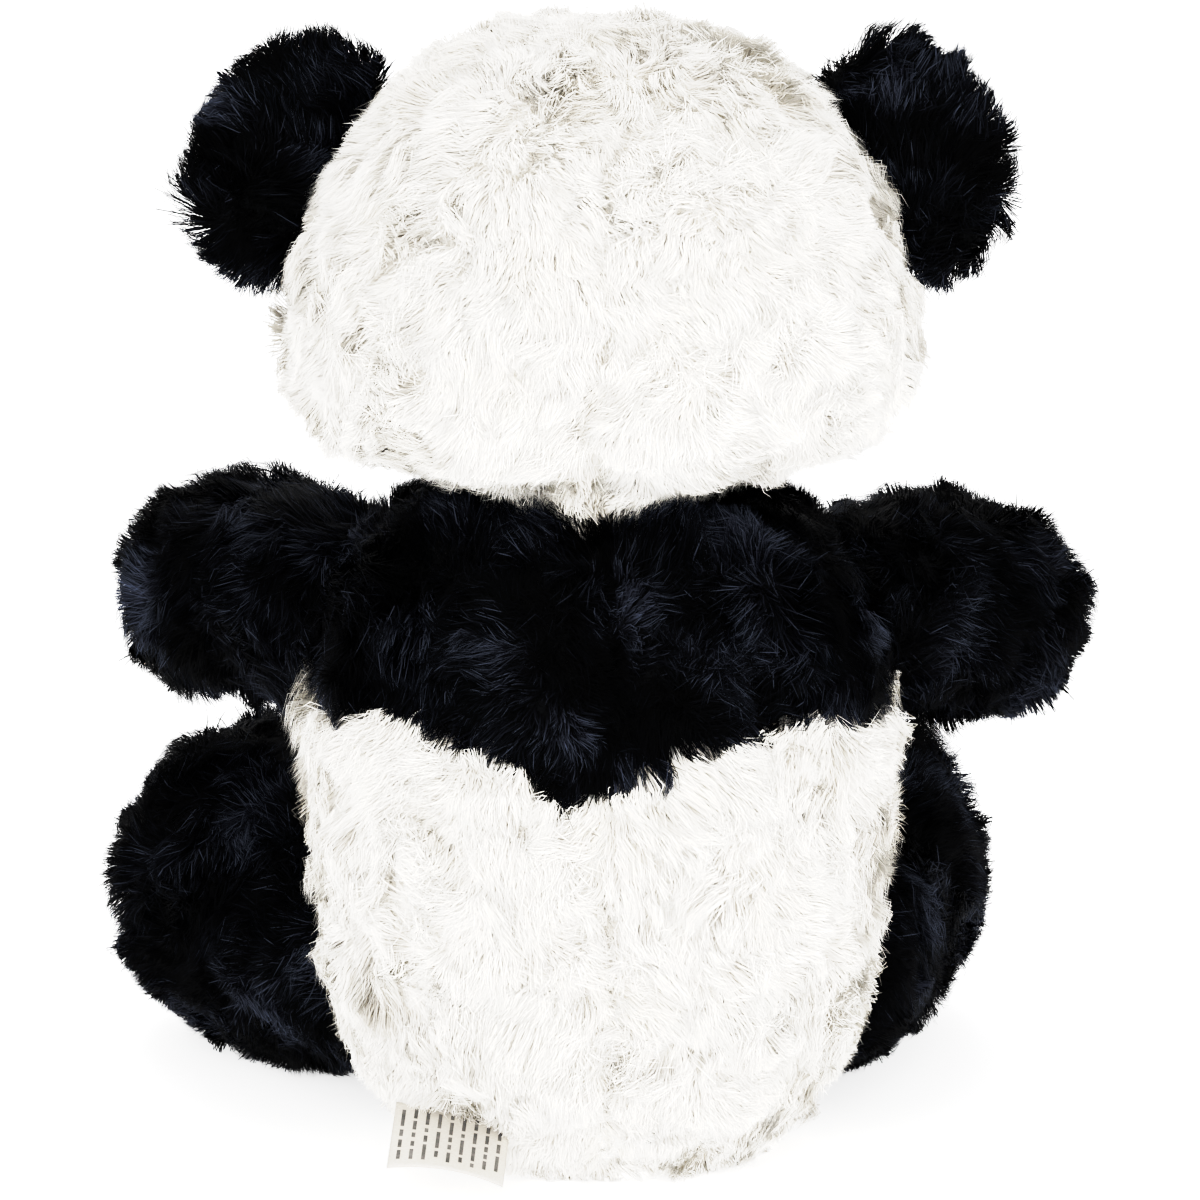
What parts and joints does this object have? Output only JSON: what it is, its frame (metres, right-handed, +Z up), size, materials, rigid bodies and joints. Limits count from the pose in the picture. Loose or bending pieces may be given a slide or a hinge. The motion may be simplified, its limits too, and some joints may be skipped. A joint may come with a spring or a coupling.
{
  "type": "plush panda",
  "caption": "Seated plush panda of black and white long-pile plush: stuffed head, body, ears, arms and legs, safety eyes and nose, and a blank care label.",
  "frame": {"origin": "middle of the flat seat panel, on the surface the toy sits on", "axes": "+Z up, -Y the way the face looks, +X the toy's own left"},
  "size_m": [0.2883, 0.2116, 0.3304],
  "materials": {
    "white_plush": "long soft polyester pile, off-white",
    "black_plush": "long soft polyester pile, blue-black",
    "stuffing": "white polyester fibrefill",
    "eye_plastic": "polished",
    "nose_plastic": "satin",
    "washer_plastic": "moulded",
    "thread": "embroidery thread",
    "label_satin": "cream satin ribbon"
  },
  "bodies": {
    "torso": {"body_stuffing": "stuffing", "upper_back_left": "black_plush", "upper_back_right": "black_plush", "lower_back_left": "white_plush", "lower_back_right": "white_plush", "chest": "black_plush", "belly": "white_plush", "seat": "white_plush", "care_label": "label_satin"},
    "neck": {"neck_stuffing": "stuffing"},
    "head": {"head_stuffing": "stuffing", "head_back_left": "white_plush", "head_back_right": "white_plush", "face_left": "white_plush", "face_right": "white_plush", "forehead": "white_plush", "chin": "white_plush", "muzzle": "white_plush", "muzzle_stuffing": "stuffing", "eye_patch_left": "black_plush", "eye_patch_right": "black_plush", "eye_left": "eye_plastic", "eye_right": "eye_plastic", "eye_washer_left": "washer_plastic", "eye_washer_right": "washer_plastic", "nose": "nose_plastic", "nose_washer": "washer_plastic", "mouth_stitching": "thread"},
    "ear_left": {"ear_left_front": "black_plush", "ear_left_back": "black_plush"},
    "ear_right": {"ear_right_front": "black_plush", "ear_right_back": "black_plush"},
    "arm_left": {"arm_left_stuffing": "stuffing", "arm_left_front": "black_plush", "arm_left_back": "black_plush"},
    "arm_right": {"arm_right_stuffing": "stuffing", "arm_right_front": "black_plush", "arm_right_back": "black_plush"},
    "leg_left": {"leg_left_stuffing": "stuffing", "leg_left_inner": "black_plush", "leg_left_outer": "black_plush", "foot_left_sole": "black_plush"},
    "leg_right": {"leg_right_stuffing": "stuffing", "leg_right_inner": "black_plush", "leg_right_outer": "black_plush", "foot_right_sole": "black_plush"}
  },
  "joints": [
    {"name": "neck_turn", "type": "hinge", "parent": "torso", "child": "neck", "pos_m": [0, -0.008, 0.206], "axis": [0, 0, 1], "range_deg": [-40, 40], "stiffness_Nm_per_rad": 0.8},
    {"name": "neck_nod", "type": "hinge", "parent": "neck", "child": "head", "pos_m": [0, -0.008, 0.206], "axis": [1, 0, 0], "range_deg": [-10, 12], "stiffness_Nm_per_rad": 1.2},
    {"name": "shoulder_left_lift", "type": "hinge", "parent": "torso", "child": "arm_left", "pos_m": [0.08, -0.035, 0.156], "axis": [-0.7431, -0.6691, 0], "range_deg": [-26, 34], "stiffness_Nm_per_rad": 0.25},
    {"name": "shoulder_right_lift", "type": "hinge", "parent": "torso", "child": "arm_right", "pos_m": [-0.08, -0.035, 0.156], "axis": [-0.682, 0.7314, 0], "range_deg": [-17, 43], "stiffness_Nm_per_rad": 0.25},
    {"name": "hip_left_spread", "type": "hinge", "parent": "torso", "child": "leg_left", "pos_m": [0.0615, -0.045, 0.039], "axis": [0, 0, 1], "range_deg": [-34, 8], "stiffness_Nm_per_rad": 0.4},
    {"name": "hip_right_spread", "type": "hinge", "parent": "torso", "child": "leg_right", "pos_m": [-0.0615, -0.045, 0.039], "axis": [0, 0, -1], "range_deg": [-4, 38], "stiffness_Nm_per_rad": 0.4},
    {"name": "ear_left_fold", "type": "hinge", "parent": "head", "child": "ear_left", "pos_m": [0.075, -0.026, 0.2835], "axis": [0.4695, 0, -0.8829], "range_deg": [-15, 15], "stiffness_Nm_per_rad": 0.06},
    {"name": "ear_right_fold", "type": "hinge", "parent": "head", "child": "ear_right", "pos_m": [-0.075, -0.026, 0.2835], "axis": [0.4695, 0, 0.8829], "range_deg": [-15, 15], "stiffness_Nm_per_rad": 0.06}
  ]
}
